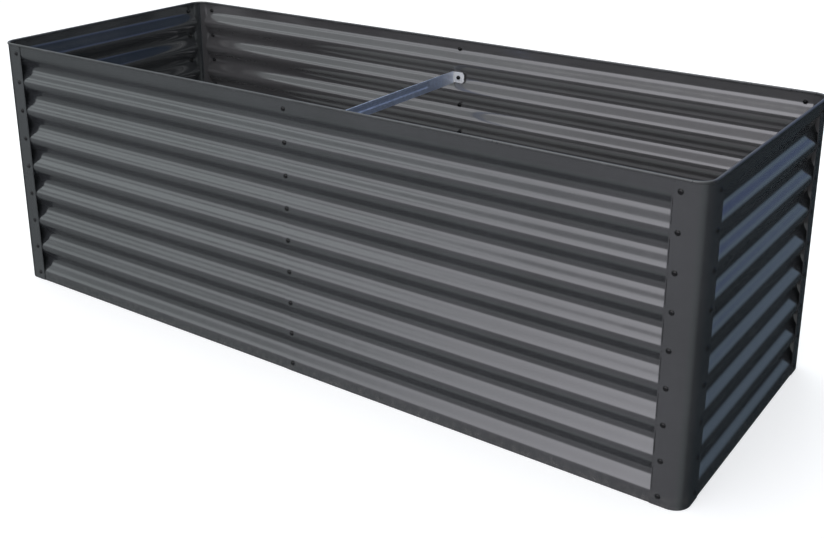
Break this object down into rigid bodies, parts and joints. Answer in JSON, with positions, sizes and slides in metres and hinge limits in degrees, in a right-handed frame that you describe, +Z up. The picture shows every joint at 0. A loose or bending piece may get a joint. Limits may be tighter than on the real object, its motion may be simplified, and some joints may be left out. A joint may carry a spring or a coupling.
{
  "type": "raised garden bed",
  "caption": "Long open-bottomed planting bed with level corrugated steel walls, rolled corner posts, slim top edging and a cross brace.",
  "frame": {"origin": "middle of the footprint, on the ground under the bed", "axes": "+X along the length to the right seen from the front, +Y to the back, +Z up"},
  "size_m": [2.1868, 0.8108, 0.747],
  "materials": {
    "coated_steel": "satin dark grey coating on corrugated sheet",
    "edging": "smooth dark grey extruded edging",
    "galvanised": "dull galvanised strip",
    "fasteners": "black coated steel"
  },
  "bodies": {
    "root": {"front_right_panel": "coated_steel", "front_left_panel": "coated_steel", "back_left_panel": "coated_steel", "back_right_panel": "coated_steel", "right_end_panel": "coated_steel", "left_end_panel": "coated_steel", "back_right_post": "coated_steel", "back_left_post": "coated_steel", "front_left_post": "coated_steel", "front_right_post": "coated_steel", "top_edging": "edging", "cross_brace": "galvanised", "front_seam_bolt_1": "fasteners", "front_seam_bolt_2": "fasteners", "front_seam_bolt_3": "fasteners", "front_seam_bolt_4": "fasteners", "front_seam_bolt_5": "fasteners", "front_seam_bolt_6": "fasteners", "front_seam_bolt_7": "fasteners", "front_seam_bolt_8": "fasteners", "front_seam_bolt_9": "fasteners", "front_seam_nut_1": "fasteners", "front_seam_nut_2": "fasteners", "front_seam_nut_3": "fasteners", "front_seam_nut_4": "fasteners", "front_seam_nut_5": "fasteners", "front_seam_nut_6": "fasteners", "front_seam_nut_7": "fasteners", "front_seam_nut_8": "fasteners", "front_seam_nut_9": "fasteners", "back_seam_bolt_1": "fasteners", "back_seam_bolt_2": "fasteners", "back_seam_bolt_3": "fasteners", "back_seam_bolt_4": "fasteners", "back_seam_bolt_5": "fasteners", "back_seam_bolt_6": "fasteners", "back_seam_bolt_7": "fasteners", "back_seam_bolt_8": "fasteners", "back_seam_bolt_9": "fasteners", "back_seam_nut_1": "fasteners", "back_seam_nut_2": "fasteners", "back_seam_nut_3": "fasteners", "back_seam_nut_4": "fasteners", "back_seam_nut_5": "fasteners", "back_seam_nut_6": "fasteners", "back_seam_nut_7": "fasteners", "back_seam_nut_8": "fasteners", "back_seam_nut_9": "fasteners"}
  },
  "joints": []
}
